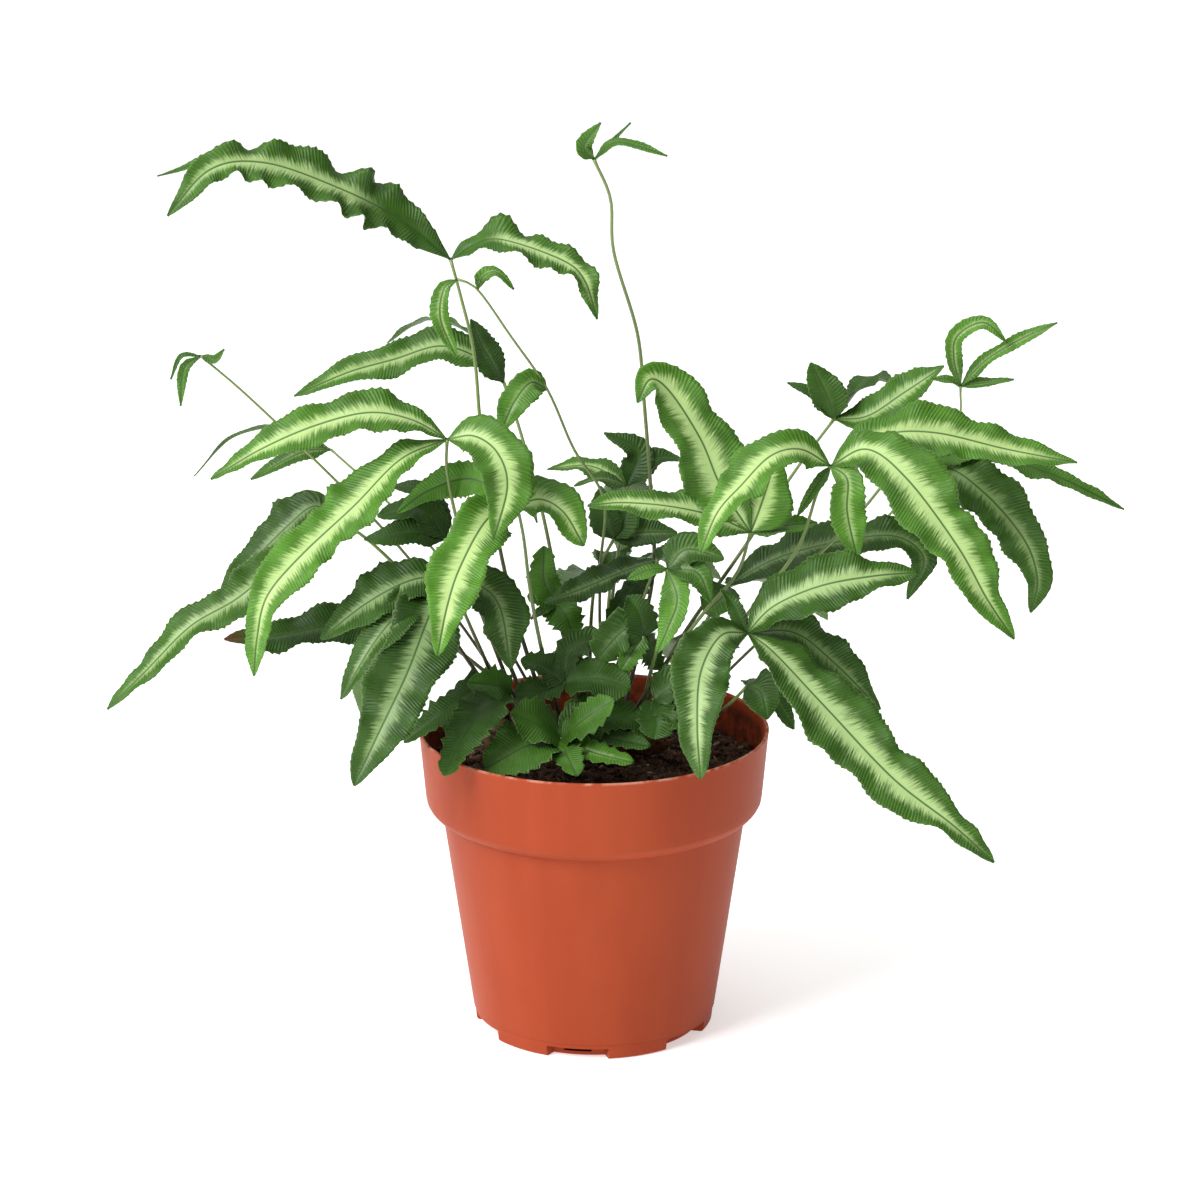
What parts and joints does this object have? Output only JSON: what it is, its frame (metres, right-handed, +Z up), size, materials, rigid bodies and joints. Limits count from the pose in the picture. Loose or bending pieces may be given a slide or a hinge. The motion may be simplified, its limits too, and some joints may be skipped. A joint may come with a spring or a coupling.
{
  "type": "potted fern",
  "caption": "Young variegated table fern with long ruffled leaflets on thin stems, growing in peat in a small round terracotta-coloured nursery pot.",
  "frame": {"origin": "centre of the pot's underside, where it stands", "axes": "+Z up along the pot's axis; -Y is the front, +X to the right seen from the front"},
  "size_m": [0.3037, 0.1535, 0.2732],
  "materials": {
    "terracotta_plastic": "satin moulded plastic",
    "peat": "loose dark peat with light flecks",
    "rhizome_scales": "rough brown scales",
    "mature_frond": "satin leaf, dark green with a pale band along the middle, ribbed across",
    "young_frond": "satin leaf, fresh yellow-green with a pale band along the middle"
  },
  "bodies": {
    "root": {"frond_arching_young": "young_frond", "frond_back_full": "mature_frond", "frond_back_left": "mature_frond", "frond_bright_curl": "young_frond", "frond_centre_back": "mature_frond", "frond_centre_bright": "mature_frond", "frond_centre_dark": "mature_frond", "frond_centre_low": "mature_frond", "frond_centre_low_back": "mature_frond", "frond_centre_pale": "mature_frond", "frond_centre_upright": "mature_frond", "frond_far_left_dark": "mature_frond", "frond_far_left_young": "young_frond", "frond_front_centre": "young_frond", "frond_high_left": "mature_frond", "frond_left_back": "mature_frond", "frond_left_front": "mature_frond", "frond_left_low_back": "mature_frond", "frond_left_main": "mature_frond", "frond_left_small_dark": "mature_frond", "frond_long_dark": "mature_frond", "frond_low_centre": "mature_frond", "frond_low_front": "mature_frond", "frond_low_left": "mature_frond", "frond_low_right": "mature_frond", "frond_right_back": "mature_frond", "frond_right_front": "mature_frond", "frond_right_main": "mature_frond", "frond_right_outer": "mature_frond", "frond_right_top_young": "young_frond", "frond_small_right": "mature_frond", "frond_tallest": "young_frond", "pot": "terracotta_plastic", "rhizome": "rhizome_scales", "soil": "peat"}
  },
  "joints": []
}
